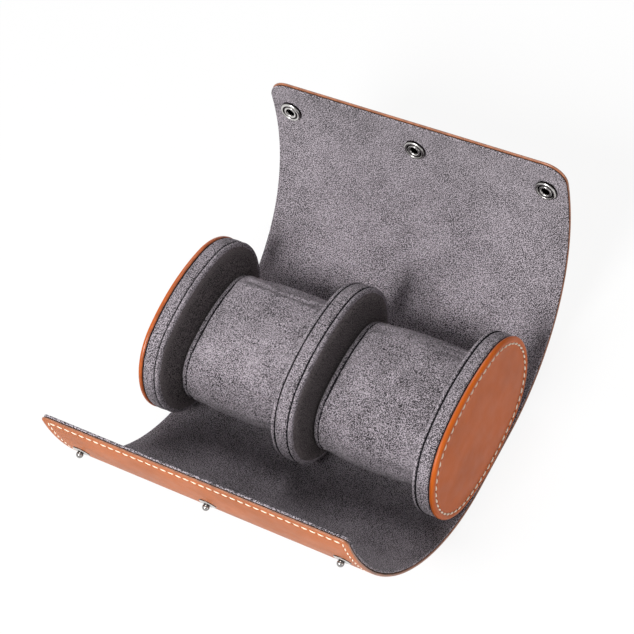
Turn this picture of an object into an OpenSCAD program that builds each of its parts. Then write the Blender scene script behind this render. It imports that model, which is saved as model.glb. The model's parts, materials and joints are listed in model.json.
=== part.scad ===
// Travel case for two watches: a leather wrap that rolls up round three oval
// dividers, with two lift-out watch cushions and a row of snap fasteners.
// X runs along the case, the front flap is towards -Y, +Z is up. The origin is
// on the underside of the spine, under the middle of the dividers.

/* [Wrap] */
// Length of the case along X
case_len = 180; // [150:1:240]
// Thickness of the leather
leather_t = 1.3; // [1.0:0.1:1.8]
// Thickness of the board between leather and lining
board_t = 0.5; // [0.4:0.1:0.8]
// Thickness of the suede lining
lining_t = 1.2; // [0.8:0.1:1.6]
// Flat part of the spine in front of the middle
spine_front = 16; // [12:1:20]
// Flat part of the spine behind the middle
spine_back = 20; // [16:1:24]
// Gap between neighbouring segments of the wrap
joint_gap = 0.3; // [0.2:0.05:0.5]

/* [Front flap] */
// Lengths of the segments, from the spine to the free edge
front_lens = [31, 31, 31, 31, 39];
// Radii that the segments keep when the case lies open
front_radii = [80, 90, 97, 110, 125];
// Rounding of the flap's two corners
front_corner_r = 3; // [1:1:8]

/* [Back flap] */
// Length of each segment, from the spine to the lip
back_seg = 32.6; // [28:0.2:36]
// Radii that the segments keep when the case lies open, the last one the lip's
back_radii = [100, 97, 92, 105, 118];
// Rounding of the lid's two corners
lid_corner_r = 12; // [4:1:16]

/* [Dividers] */
// Half width of the ovals along Y
oval_a = 52; // [46:0.5:56]
// Half height of the ovals
oval_b = 37.4; // [34:0.1:40]
// Radius of the ovals' two ends
oval_r = 35; // [30:0.5:36.5]
// How much of the oval is cut flat where it is glued to the spine
seat_cut = 0.5; // [0.4:0.1:1.2]
// Thickness of an end divider
end_div_t = 13.4; // [11:0.1:15]
// Thickness of the middle divider
mid_div_t = 13.6; // [10:0.1:16]
// How far an end plate's face stands out past the wrap's side edge
plate_proud = 0.6; // [0:0.1:1.5]
// Thickness of the leather end plates
plate_t = 2.8; // [2:0.1:4]
// Diameter of the rolled edge round each suede face
roll_d = 2.6; // [2:0.1:3]

/* [Cushions] */
// Half width of a cushion along Y
cushion_a = 40; // [34:0.5:43]
// Half height of a cushion
cushion_b = 25.5; // [22:0.5:28]
// Radius of a cushion's two ends
cushion_r = 23.5; // [18:0.5:25]
// How far a cushion sits behind the middle of the ovals
cushion_y = 2; // [0:0.5:4]
// How much a cushion draws in from its middle to its ends
cushion_crown = 1.2; // [0.5:0.1:2]
// Gap between a cushion and each divider
cushion_gap = 0.5; // [0.3:0.1:1]

/* [Snap fasteners] */
// Distance of the outer fasteners from the middle one
snap_pitch = 78; // [60:1:80]
// Distance of the studs from the front flap's edge
stud_edge = 31; // [29:0.5:33]
// Distance of the sockets from the lid's edge
socket_edge = 19.2; // [16:0.1:22]
// Outer diameter of a socket
socket_d = 12.5; // [10:0.5:14]
// Diameter of a stud's head
stud_d = 3.8; // [3.4:0.1:4]

/* [Hidden] */

$fn = 96;
tan_leather = [0.74, 0.41, 0.24];
grey_suede = [0.46, 0.43, 0.46];
pale_suede = [0.55, 0.52, 0.55];
grey_board = [0.66, 0.60, 0.50];
foam_white = [0.90, 0.88, 0.82];
nickel = [0.80, 0.79, 0.77];

// The wrap's layers, measured from its mid-surface, minus on the leather side.
wrap_t = leather_t + board_t + lining_t;
LEATHER = [-wrap_t / 2, -wrap_t / 2 + leather_t];
BOARD = [LEATHER[1], LEATHER[1] + board_t];
LINING = [BOARD[1], wrap_t / 2];
function tint(layer) = layer == LEATHER ? tan_leather : layer == BOARD ? grey_board : grey_suede;
// Each segment starts in a round edge that turns in a hollow of the one before.
nose_r = wrap_t / 2 + 0.05;
hollow_r = nose_r + joint_gap;
corner_lead = 0.03; // how far a corner's cutter stands out past the edges it cuts
fine_sides = 240; // sides of the large arcs

back_lens = [for (r = back_radii) back_seg];
last_front = len(front_lens) - 1;
last_back = len(back_radii) - 1;

// Angle that a segment turns through, and where its far end lies from its hinge.
function sweep(len, radius) = len / (radius + wrap_t / 2) * 180 / PI;
function chord(len, radius) =
    let (mid = radius + wrap_t / 2, turn = sweep(len, radius))
    [mid * sin(turn), mid * (1 - cos(turn))];
// Heading and place [y, z] of the hinge that segment i hangs from.
function heading(lens, radii, i) =
    i == 0 ? 0 : heading(lens, radii, i - 1) + sweep(lens[i - 1], radii[i - 1]);
function hinge(start, lens, radii, i) =
    i == 0 ? [start, wrap_t / 2] :
    let (
        before = hinge(start, lens, radii, i - 1),
        turn = heading(lens, radii, i - 1),
        step = chord(lens[i - 1], radii[i - 1])
    )
    before + [step[0] * cos(turn) - step[1] * sin(turn), step[0] * sin(turn) + step[1] * cos(turn)];

// ---- The wrap ----

// Cross-section of one layer of a segment: the hinge is at the origin, the
// sheet leaves it along +X and curls towards +Y.
module layer_section(radius, len, layer, is_last) {
    mid = radius + wrap_t / 2;
    turn = sweep(len, radius);
    difference() {
        intersection() {
            translate([0, mid]) difference() {
                circle(mid - layer[0], $fn = fine_sides);
                circle(mid - layer[1], $fn = fine_sides);
            }
            union() {
                circle(nose_r);
                translate([0, mid])
                    polygon([[0, 0], [0, -2 * mid], [2 * mid * sin(turn), -2 * mid * cos(turn)]]);
            }
        }
        if (!is_last)
            translate(chord(len, radius)) circle(hollow_r);
    }
}

// Puts children at segment i of a flap; side is -1 in front and 1 at the back.
// There +Y runs along the sheet away from the spine and +Z is its lining side.
module on_flap(side, i) {
    lens = side < 0 ? front_lens : back_lens;
    radii = side < 0 ? front_radii : back_radii;
    at = hinge(side < 0 ? spine_front : spine_back, lens, radii, i);
    mirror([0, side < 0 ? 1 : 0, 0])
        translate([0, at[0], at[1]])
            rotate([heading(lens, radii, i), 0, 0])
                children();
}

// Puts children on a segment's mid-surface, a length s from its hinge.
module on_segment(len, radius, s) {
    at = chord(s, radius);
    translate([0, at[0], at[1]]) rotate([sweep(s, radius), 0, 0]) children();
}

// What is cut off a flap's free edge to round its two corners. The arcs stand
// out by corner_lead, so that they cross the edges and don't just touch them.
module corner_cutter(r) {
    for (side = [-1, 1])
        translate([side * (case_len / 2 - r + corner_lead), -r + corner_lead, -3 * wrap_t])
            linear_extrude(6 * wrap_t) difference() {
                translate([side < 0 ? -2 * r : 0, 0]) square(2 * r);
                circle(r);
            }
}

module flap_layer(side, i, layer) {
    is_front = side < 0;
    lens = is_front ? front_lens : back_lens;
    radius = is_front ? front_radii[i] : back_radii[i];
    is_last = i == (is_front ? last_front : last_back);
    color(tint(layer)) on_flap(side, i) difference() {
        rotate([90, 0, 90]) translate([0, 0, -case_len / 2])
            linear_extrude(case_len) layer_section(radius, lens[i], layer, is_last);
        if (is_last)
            on_segment(lens[i], radius, lens[i])
                corner_cutter(is_front ? front_corner_r : lid_corner_r);
    }
}

module spine_layer(layer) {
    color(tint(layer)) rotate([90, 0, 90]) translate([0, wrap_t / 2, -case_len / 2])
        linear_extrude(case_len) difference() {
            translate([-spine_front, layer[0]])
                square([spine_front + spine_back, layer[1] - layer[0]]);
            translate([-spine_front, 0]) circle(hollow_r);
            translate([spine_back, 0]) circle(hollow_r);
        }
}

// Puts a child at each fastener of a flap, on the mid-surface of its last segment.
module at_snaps(side) {
    lens = side < 0 ? front_lens : back_lens;
    radii = side < 0 ? front_radii : back_radii;
    i = side < 0 ? last_front : last_back;
    s = lens[i] - (side < 0 ? stud_edge : socket_edge);
    on_flap(side, i) on_segment(lens[i], radii[i], s)
        for (x = [-snap_pitch, 0, snap_pitch])
            translate([x, 0, 0]) children();
}

// ---- Snap fasteners ----

flange_r = 4.6;
flange_t = 0.8;
flange_slope = 0.9;
neck_r = 1.5;
stud_reach = 2.1; // from the leather to the middle of the stud's head
post_r = 1.2;
post_reach = 1.6; // from the leather to the end of the rivet's post
rivet_r = 4.5;
disc_t = 0.3;
hole_r = stud_d / 2 + 0.3;
barrel_r = 3.1;
socket_rise = 2.0;
socket_wall = 0.9; // upright part of the socket's side
groove = [4.3, 0.35, 0.6]; // ring in its face: radius, how far its middle is above, radius of cut
pocket = 0.2;
cap_r = 5;
clinch_r = 3.8;
clinch_h = 1.1;
fit_gap = 0.1;
past = 1; // how far a cutter runs past what it cuts

// Stud on the leather: flange, neck and round head, hollow for the rivet's post.
module stud() {
    head_at = LEATHER[0] - stud_reach;
    color(nickel) difference() {
        union() {
            translate([0, 0, LEATHER[0] - flange_t / 2]) cylinder(r = flange_r, h = flange_t / 2);
            translate([0, 0, LEATHER[0] - flange_t])
                cylinder(r1 = flange_r - flange_slope, r2 = flange_r, h = flange_t / 2);
            translate([0, 0, head_at]) cylinder(r = neck_r, h = stud_reach);
            translate([0, 0, head_at]) sphere(d = stud_d);
        }
        translate([0, 0, head_at]) cylinder(r = post_r + fit_gap / 2, h = stud_reach + past);
    }
}

// Rivet behind the leather: a disc in the board's hole and a post into the stud.
module stud_rivet() {
    color(nickel) {
        translate([0, 0, BOARD[0] + fit_gap]) cylinder(r = rivet_r, h = disc_t);
        translate([0, 0, LEATHER[0] - post_reach])
            cylinder(r = post_r, h = post_reach + leather_t + 2 * fit_gap);
    }
}

// Socket on the lining: a domed ring over a barrel that passes through the suede.
module socket() {
    seat = LINING[1] - pocket;
    top = LINING[1] + socket_rise;
    rim = socket_d / 2;
    color(nickel) rotate_extrude() difference() {
        union() {
            translate([hole_r, LINING[0] + fit_gap])
                square([barrel_r - hole_r, seat - LINING[0]]);
            polygon([
                [hole_r, seat], [rim, seat], [rim, seat + socket_wall],
                [rim - 0.5, top - 0.5], [rim - 1.3, top - 0.1],
                [rim - 2.2, top], [hole_r + 0.9, top - 0.3], [hole_r, top - 0.9]
            ]);
        }
        translate([groove[0], top + groove[1]]) circle(groove[2], $fn = 24);
    }
}

// Cap behind the socket: a disc in the board's hole, clinched round the barrel.
module socket_cap() {
    color(nickel) translate([0, 0, BOARD[0] + fit_gap]) {
        cylinder(r = cap_r, h = disc_t);
        difference() {
            cylinder(r = clinch_r, h = clinch_h);
            translate([0, 0, disc_t]) cylinder(r = barrel_r + fit_gap, h = clinch_h + past);
        }
    }
}

// The last segments of the two flaps, with the holes for the fasteners.
module front_last(layer, hole) {
    color(tint(layer)) difference() {
        flap_layer(-1, last_front, layer);
        if (hole > 0)
            at_snaps(-1) translate([0, 0, -wrap_t]) cylinder(r = hole, h = 2 * wrap_t);
    }
}

module lip(layer, hole) {
    color(tint(layer)) difference() {
        flap_layer(1, last_back, layer);
        if (hole > 0)
            at_snaps(1) translate([0, 0, -wrap_t]) cylinder(r = hole, h = 2 * wrap_t);
        if (layer == LINING)
            at_snaps(1) translate([0, 0, LINING[1] - pocket])
                cylinder(d = socket_d + 2 * fit_gap, h = pocket + past);
    }
}

// ---- Dividers ----

// A four-arc oval: round ends of radius r at +-(a - r), and flatter arcs above
// and below whose centres lie arc_drop past the middle. Insetting it by a
// distance keeps all four centres.
function arc_drop(a, b, r) = (pow(a - r, 2) - pow(b - r, 2)) / (2 * (b - r));
function arc_half(a, b, r) = atan((a - r) / arc_drop(a, b, r));
// The point of the oval whose outward normal is t degrees from +Z.
function oval_point(a, b, r, t) =
    let (side = t > 180 ? -1 : 1, u = t > 180 ? 360 - t : t, be = arc_half(a, b, r),
         drop = arc_drop(a, b, r))
    u < be ? [side * (b + drop) * sin(u), (b + drop) * cos(u) - drop] :
    u > 180 - be ? [side * (b + drop) * sin(u), (b + drop) * cos(u) + drop] :
    [side * (a - r + r * sin(u)), r * cos(u)];

// The oval's outline, inset by a distance, with what lies below floor_z laid
// flat on it. Its points run round the oval.
function oval_outline(a, b, r, inset, floor_z, sides = oval_sides) = [
    for (k = [0 : sides - 1])
        let (p = oval_point(a - inset, b - inset, r - inset, (k + 0.5) * 360 / sides))
        [p[0], max(p[1], floor_z)]
];

// A lofted oval body. Each step is [distance along X, inset].
module oval_loft(a, b, r, steps, floor_z, closed_ring = false, sides = oval_sides) {
    n = len(steps);
    points = [
        for (s = steps)
            for (p = oval_outline(a, b, r, s[1], floor_z, sides))
                [s[0], p[0], p[1]]
    ];
    rings = closed_ring ? n : n - 1;
    walls = [
        for (j = [0 : rings - 1]) for (k = [0 : sides - 1])
            let (p = j * sides + k, q = j * sides + (k + 1) % sides,
                 u = (j + 1) % n * sides + k, v = (j + 1) % n * sides + (k + 1) % sides)
            each [[p, q, v], [p, v, u]]
    ];
    caps = closed_ring ? [] : [
        [for (k = [sides - 1 : -1 : 0]) k],
        [for (k = [0 : sides - 1]) (n - 1) * sides + k]
    ];
    polyhedron(points, concat(walls, caps));
}

oval_sides = 56;
roll_sides = 8;
seat_z = -oval_b + seat_cut;
no_floor = -99; // far below any oval, for those that are not cut flat
oval_z = wrap_t - seat_z;
band_in = 0.2;
band_t = 1.4;
core_in = band_in + band_t;
plate_x = case_len / 2 + plate_proud;
face_in = band_in + roll_d + 0.05;
face_rise = 0.3; // how far a suede face stands out past its rolled edge
core_end = end_div_t - face_rise - roll_d;
mid_core = mid_div_t / 2 - face_rise - roll_d;

module at_divider() {
    translate([0, 0, oval_z]) children();
}

// Turns a right-hand divider, built inwards from x = 0, to its own side.
module at_end(side) {
    at_divider() mirror([side > 0 ? 1 : 0, 0, 0]) translate([-plate_x, 0, 0]) children();
}

// Board core of a divider, from x0 to x1.
module divider_core(x0, x1) {
    color(grey_board) translate([x0, 0, 0]) rotate([90, 0, 90])
        linear_extrude(x1 - x0) polygon(oval_outline(oval_a, oval_b, oval_r, core_in, seat_z));
}

// Suede band round a divider's core.
module gusset_band(x0, x1) {
    color(grey_suede) translate([x0, 0, 0]) rotate([90, 0, 90])
        linear_extrude(x1 - x0) difference() {
            polygon(oval_outline(oval_a, oval_b, oval_r, band_in, seat_z));
            polygon(oval_outline(oval_a, oval_b, oval_r, core_in, seat_z - past));
        }
}

// Leather plate with a rounded rim and a shallow stitching valley inside it.
module end_plate() {
    color(tan_leather) oval_loft(oval_a, oval_b, oval_r, [
        [0.12, 8], [0.16, 6], [0.42, 4.8], [0.38, 4.2], [0.1, 3.3], [0, 2.5],
        [0.22, 1.4], [0.75, 0.5], [1.6, 0.05], [plate_t - 0.5, 0], [plate_t, 0.3]
    ], seat_z);
}

// Rolled edge: a padded cord swept round the oval, x being its inner side.
module rolled_edge(x) {
    r = roll_d / 2;
    color(pale_suede) oval_loft(oval_a, oval_b, oval_r, [
        for (k = [0 : roll_sides - 1])
            let (turn = (k + 0.5) * 360 / roll_sides)
            [x + r - r * cos(turn), band_in + r - r * sin(turn)]
    ], seat_z, closed_ring = true);
}

// Suede face inside the rolled edge, slightly crowned.
module suede_face() {
    depth = roll_d + face_rise;
    color(grey_suede) oval_loft(oval_a, oval_b, oval_r, [
        [0, face_in], [depth - 0.9, face_in], [depth - 0.45, face_in + 0.5],
        [depth - 0.2, face_in + 2], [depth, face_in + 8]
    ], seat_z);
}

// ---- Cushions ----

cushion_x0 = mid_div_t / 2 + cushion_gap;
cushion_x1 = plate_x - end_div_t - cushion_gap;
cushion_len = cushion_x1 - cushion_x0;
cushion_lift = 0.2; // how far its underside is clear of the lining
cushion_z = wrap_t + cushion_lift + cushion_b;
cap_len = 3.2;
seam = 0.3;
sleeve_t = 1.4;
foam_in = sleeve_t + cushion_crown + 0.1;

module at_cushion(side) {
    mirror([side < 0 ? 1 : 0, 0, 0]) translate([cushion_x0, cushion_y, cushion_z]) children();
}

// Inset of the sleeve at a place along the cushion, least in the middle.
function draw_in(x) = cushion_crown * pow(2 * x / cushion_len - 1, 2);

module cushion_foam() {
    color(foam_white) translate([cap_len, 0, 0]) rotate([90, 0, 90])
        linear_extrude(cushion_len - 2 * cap_len)
            polygon(oval_outline(cushion_a, cushion_b, cushion_r, foam_in, no_floor));
}

// Suede sleeve: crowned outside, straight inside, turned in at both seams.
module cushion_sleeve() {
    x0 = cap_len + seam;
    x1 = cushion_len - x0;
    shoulder = 0.7;
    steps = 8;
    inner = cushion_crown + sleeve_t;
    outside = [
        for (k = [0 : steps])
            let (x = x0 + shoulder + (x1 - x0 - 2 * shoulder) * k / steps)
            [x, draw_in(x)]
    ];
    color(pale_suede) oval_loft(cushion_a, cushion_b, cushion_r, concat(
        [[x0, inner], [x0 + 0.1, draw_in(x0) + 0.6]], outside,
        [[x1 - 0.1, draw_in(x1) + 0.6], [x1, inner]]
    ), no_floor, closed_ring = true);
}

// The two end pads: thin suede discs with soft rims.
module cushion_ends() {
    rim = cushion_crown + 0.5;
    color(grey_suede) for (flip = [0, 1])
        translate([flip * cushion_len, 0, 0]) mirror([flip, 0, 0])
            oval_loft(cushion_a, cushion_b, cushion_r, [
                [0, rim + 2], [0.3, rim + 0.7], [0.9, rim], [cap_len - 0.7, rim - 0.1],
                [cap_len, rim + 0.6]
            ], no_floor, sides = 48);
}

// ---- Nodes ----

spine_layer(LEATHER);  // spine_leather
spine_layer(BOARD);  // spine_board
spine_layer(LINING);  // spine_lining
for (i = [0 : last_front - 1]) {
    flap_layer(-1, i, LEATHER);
    flap_layer(-1, i, BOARD);
    flap_layer(-1, i, LINING);
}
front_last(LEATHER, post_r + 2 * fit_gap);  // front_leather_5
front_last(BOARD, rivet_r + fit_gap);  // front_board_5
front_last(LINING, 0);  // front_lining_5
for (i = [0 : last_back - 1]) {
    flap_layer(1, i, LEATHER);
    flap_layer(1, i, BOARD);
    flap_layer(1, i, LINING);
}
lip(LEATHER, 0);  // lip_leather
lip(BOARD, cap_r + fit_gap);  // lip_board
lip(LINING, clinch_r + fit_gap);  // lip_lining

at_snaps(-1) stud();  // snap_studs
at_snaps(-1) stud_rivet();  // stud_rivets
at_snaps(1) socket();  // snap_sockets
at_snaps(1) socket_cap();  // socket_caps

for (end = [["left", -1], ["right", 1]]) {
    at_end(end[1]) end_plate();
    at_end(end[1]) divider_core(plate_t, core_end);
    at_end(end[1]) gusset_band(plate_t, core_end);
    at_end(end[1]) rolled_edge(core_end);
    at_end(end[1]) translate([core_end, 0, 0]) suede_face();
    at_cushion(end[1]) cushion_foam();
    at_cushion(end[1]) cushion_sleeve();
    at_cushion(end[1]) cushion_ends();
}
at_divider() divider_core(-mid_core, mid_core);  // middle_divider_core
at_divider() gusset_band(-mid_core, mid_core);  // middle_gusset_band
at_divider() for (side = [0, 1]) mirror([side, 0, 0]) rolled_edge(mid_core);  // middle_rolled_edges
at_divider() mirror([1, 0, 0]) translate([mid_core, 0, 0]) suede_face();  // middle_face_left
at_divider() translate([mid_core, 0, 0]) suede_face();  // middle_face_right
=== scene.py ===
"""Looks of an open travel case for two watches: leather wrap, suede dividers and cushions."""

import json
import math

import bmesh
import bpy
from bpy.props import FloatProperty, FloatVectorProperty, IntProperty, PointerProperty
from mathutils import Matrix, Vector, noise
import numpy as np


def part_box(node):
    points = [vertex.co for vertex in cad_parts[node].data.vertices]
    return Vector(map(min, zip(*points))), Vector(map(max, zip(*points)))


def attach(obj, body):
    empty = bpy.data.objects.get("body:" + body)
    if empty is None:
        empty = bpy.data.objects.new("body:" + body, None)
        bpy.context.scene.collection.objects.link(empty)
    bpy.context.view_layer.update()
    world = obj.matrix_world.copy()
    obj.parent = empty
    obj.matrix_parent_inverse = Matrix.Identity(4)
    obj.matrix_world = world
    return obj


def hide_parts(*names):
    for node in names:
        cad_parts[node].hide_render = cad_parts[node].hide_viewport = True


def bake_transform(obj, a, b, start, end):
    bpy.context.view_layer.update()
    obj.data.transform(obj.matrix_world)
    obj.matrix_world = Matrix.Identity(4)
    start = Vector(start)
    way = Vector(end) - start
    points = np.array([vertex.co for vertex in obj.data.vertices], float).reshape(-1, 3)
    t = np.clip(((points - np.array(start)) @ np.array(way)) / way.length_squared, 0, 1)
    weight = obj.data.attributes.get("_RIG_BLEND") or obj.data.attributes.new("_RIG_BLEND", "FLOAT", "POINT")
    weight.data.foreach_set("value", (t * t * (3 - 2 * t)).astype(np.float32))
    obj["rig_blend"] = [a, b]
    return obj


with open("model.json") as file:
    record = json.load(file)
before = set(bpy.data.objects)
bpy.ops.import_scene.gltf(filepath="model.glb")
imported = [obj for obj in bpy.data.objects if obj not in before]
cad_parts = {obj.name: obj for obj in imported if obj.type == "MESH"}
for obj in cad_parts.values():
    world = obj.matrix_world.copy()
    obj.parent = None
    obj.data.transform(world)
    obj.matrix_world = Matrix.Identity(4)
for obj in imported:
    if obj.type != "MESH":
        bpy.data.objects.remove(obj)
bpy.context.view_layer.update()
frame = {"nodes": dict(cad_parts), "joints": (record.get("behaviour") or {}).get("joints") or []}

bl_info = {
    "name": "Watch Travel Case",
    "version": (1, 0, 0),
    "blender": (4, 5, 0),
    "location": "View3D > Sidebar > Watch Case",
    "description": "Dresses the packed watch travel case in leather, suede and nickel",
    "category": "Object",
}

MM = 0.001
TAU = 2 * math.pi

# Attributes of the meshes that materials read.
FLAT = "flat_place"
# Darkening of the nickel: tarnished grooves, and painted shade and painted dark reflection on walls, flanges
# and balls.
TARNISH_AND_SHADE = "tarnish"
INSET = "inset"


def joint_place(name):
    """Where a joint's axis lies, at rest."""
    return Vector(next(j["pos_m"] for j in frame["joints"] if j["name"] == name))


# ---- Settings ----


class WrapSettings(bpy.types.PropertyGroup):
    """The leather wrap and the lining glued into it."""

    half_length: FloatProperty(
        name="Half length", description="From the middle of the case to the wrap's side edges",
        default=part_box("spine_leather")[1].x, unit="LENGTH")
    thickness: FloatProperty(
        name="Thickness", description="Leather, board and lining together",
        default=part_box("spine_lining")[1].z, unit="LENGTH")
    leather: FloatProperty(
        name="Leather", description="Thickness of the leather",
        default=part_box("spine_leather")[1].z, unit="LENGTH")
    lining: FloatProperty(
        name="Lining", description="Thickness of the suede lining", default=0.0012, unit="LENGTH")
    front_corner: FloatProperty(
        name="Front corners", description="Rounding of the front flap's corners",
        default=0.003, unit="LENGTH")
    lid_corner: FloatProperty(
        name="Lid corners", description="Rounding of the lid's corners",
        default=0.012, unit="LENGTH")
    bend_reach: FloatProperty(
        name="Bend reach", description="How far from a hinge the wrap starts to bend",
        default=0.0154, unit="LENGTH")
    stitch_inset: FloatProperty(
        name="Stitch inset", description="From the leather's edge to the stitches",
        default=0.0035, unit="LENGTH")
    stitch_pitch: FloatProperty(
        name="Stitch pitch", description="From one stitch to the next",
        default=0.0045, unit="LENGTH")
    stitch_length: FloatProperty(
        name="Stitch length", description="Length of thread that shows",
        default=0.0036, unit="LENGTH")
    stitch_width: FloatProperty(
        name="Stitch width", description="Thickness of the thread", default=0.0009, unit="LENGTH")
    leather_colour: FloatVectorProperty(
        name="Leather", description="Colour of the leather's face", subtype="COLOR", size=3,
        default=(0.385, 0.105, 0.026), min=0, max=1)
    edge_colour: FloatVectorProperty(
        name="Painted edge", description="Colour of the paint on the leather's edges",
        subtype="COLOR", size=3, default=(0.34, 0.13, 0.065), min=0, max=1)
    thread_colour: FloatVectorProperty(
        name="Thread", description="Colour of the stitching thread", subtype="COLOR", size=3,
        default=(0.90, 0.77, 0.62), min=0, max=1)


class DividerSettings(bpy.types.PropertyGroup):
    """The three oval dividers."""

    half_width: FloatProperty(
        name="Half width", description="Half of an oval's size from front to back",
        default=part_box("left_end_plate")[1].y, unit="LENGTH")
    half_height: FloatProperty(
        name="Half height", description="Half of an oval's size upwards",
        default=0.0374, unit="LENGTH")
    end_radius: FloatProperty(
        name="End radius", description="Radius of an oval's two ends",
        default=0.035, unit="LENGTH")
    centre_height: FloatProperty(
        name="Centre height", description="Height of the ovals' centre",
        default=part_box("left_end_plate")[1].z - 0.0374, unit="LENGTH")
    band_inset: FloatProperty(
        name="Band inset", description="How far the suede band lies inside the oval",
        default=0.0002, unit="LENGTH")
    sides: IntProperty(
        name="Sides", description="Number of sides round an oval", default=168, min=48)
    # Nearly black: the seams' thread, and painted shade of their grooves.
    seam_and_gap_shade_colour: FloatVectorProperty(
        name="Seam", description="Colour of the seams", subtype="COLOR", size=3,
        default=(0.012, 0.011, 0.013), min=0, max=1)


class CushionSettings(bpy.types.PropertyGroup):
    """The two lift-out watch cushions."""

    half_width: FloatProperty(
        name="Half width", description="Half of a cushion's size from front to back",
        default=0.040, unit="LENGTH")
    half_height: FloatProperty(
        name="Half height", description="Half of a cushion's size upwards",
        default=0.0255, unit="LENGTH")
    end_radius: FloatProperty(
        name="End radius", description="Radius of a cushion's two round sides",
        default=0.0235, unit="LENGTH")
    centre_y: FloatProperty(
        name="Centre", description="How far a cushion lies behind the dividers' middle",
        default=0.002, unit="LENGTH")
    crown: FloatProperty(
        name="Crown", description="How much a cushion draws in from its middle to its ends",
        default=0.0012, unit="LENGTH")
    end_pad: FloatProperty(
        name="End pad", description="Width of the suede pad at each end",
        default=0.0032, unit="LENGTH")
    pressure: FloatProperty(
        name="Stuffing pressure", description="Pressure that fills a cushion's sleeve",
        default=4.0)
    suede_colour: FloatVectorProperty(
        name="Suede", description="Colour of the suede", subtype="COLOR", size=3,
        default=(0.225, 0.200, 0.220), min=0, max=1)


class FastenerSettings(bpy.types.PropertyGroup):
    """The snap fasteners."""

    pitch: FloatProperty(
        name="Pitch", description="Distance of the outer fasteners from the middle one",
        default=0.078, unit="LENGTH")
    stud_edge: FloatProperty(
        name="Stud edge", description="From the front flap's edge to the studs",
        default=0.031, unit="LENGTH")
    socket_edge: FloatProperty(
        name="Socket edge", description="From the lid's edge to the sockets",
        default=0.0192, unit="LENGTH")
    socket_diameter: FloatProperty(
        name="Socket", description="Outer diameter of a socket", default=0.0125, unit="LENGTH")
    socket_rise: FloatProperty(
        name="Socket rise", description="How far a socket stands out of the lining",
        default=0.002, unit="LENGTH")
    nickel_colour: FloatVectorProperty(
        name="Nickel", description="Colour of the nickel plate", subtype="COLOR", size=3,
        default=(0.68, 0.66, 0.64), min=0, max=1)


class StudioSettings(bpy.types.PropertyGroup):
    """Light, surroundings and camera."""

    camera_place: FloatVectorProperty(
        name="Camera", description="Where the camera stands", subtype="TRANSLATION", size=3,
        default=(0.46904, -0.39775, 0.96567))
    lens: FloatProperty(name="Lens", description="Focal length in millimetres", default=119.115)
    key_power: FloatProperty(
        name="Key light", description="Power of the key light", default=23.0, unit="POWER")
    fill_power: FloatProperty(
        name="Fill light", description="Power of the fill light", default=2.4, unit="POWER")
    back_power: FloatProperty(
        name="Back light", description="Power of the back light", default=5.0, unit="POWER")
    sky: FloatProperty(
        name="Sky", description="Strength of the plain surroundings", default=0.21)


SETTINGS = {
    "case_wrap": WrapSettings,
    "case_divider": DividerSettings,
    "case_cushion": CushionSettings,
    "case_fastener": FastenerSettings,
    "case_studio": StudioSettings,
}


# ---- Shader maths ----


class Signal:
    """An output socket of a node tree. Arithmetic on it adds Math nodes."""

    def __init__(self, nodes, socket):
        self.nodes = nodes
        self.socket = socket

    def maths(self, operation, first, second):
        """One Math node on two values or signals."""
        return self.nodes.node("ShaderNodeMath", {"operation": operation}, {0: first, 1: second})

    def __add__(self, other):
        return self.maths("ADD", self, other)

    def __sub__(self, other):
        return self.maths("SUBTRACT", self, other)

    def __rsub__(self, other):
        return self.maths("SUBTRACT", other, self)

    def __mul__(self, other):
        return self.maths("MULTIPLY", self, other)

    __radd__ = __add__
    __rmul__ = __mul__

    def clamp(self):
        """The value, kept from 0 to 1."""
        return self.nodes.node("ShaderNodeClamp", {}, {"Value": self})

    def largest(self, other):
        """The larger of two values."""
        return self.maths("MAXIMUM", self, other)

    def ramp(self, low, high):
        """0 below low, 1 above high, and a soft step between them."""
        return self.nodes.node(
            "ShaderNodeMapRange", {"interpolation_type": "SMOOTHSTEP"},
            {"Value": self, "From Min": low, "From Max": high})


class Nodes:
    """The node tree of a material or of the world, under construction."""

    def __init__(self, tree):
        self.tree = tree

    def node(self, kind, settings, values, output=0):
        """Adds one node: its settings first, then the values or links of its sockets."""
        node = self.tree.nodes.new(kind)
        for key, value in settings.items():
            setattr(node, key, value)
        for key, value in values.items():
            self.feed(node.inputs[key], value)
        return Signal(self, node.outputs[output])

    def feed(self, socket, value):
        """Links a signal to a socket, or sets the socket's own value."""
        if isinstance(value, Signal):
            self.tree.links.new(value.socket, socket)
        else:
            socket.default_value = value

    def attribute(self, name, output="Fac"):
        """What a mesh stores for its points under a name."""
        return self.node("ShaderNodeAttribute", {"attribute_name": name}, {}, output)

    def unlit_share(self):
        """1 for the camera and for mirror-like views, 0 for light that falls on things."""
        camera, glossy, clear = (
            self.node("ShaderNodeLightPath", {}, {}, ray)
            for ray in ("Is Camera Ray", "Is Glossy Ray", "Is Transmission Ray"))
        return camera.largest(glossy).largest(clear)


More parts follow.
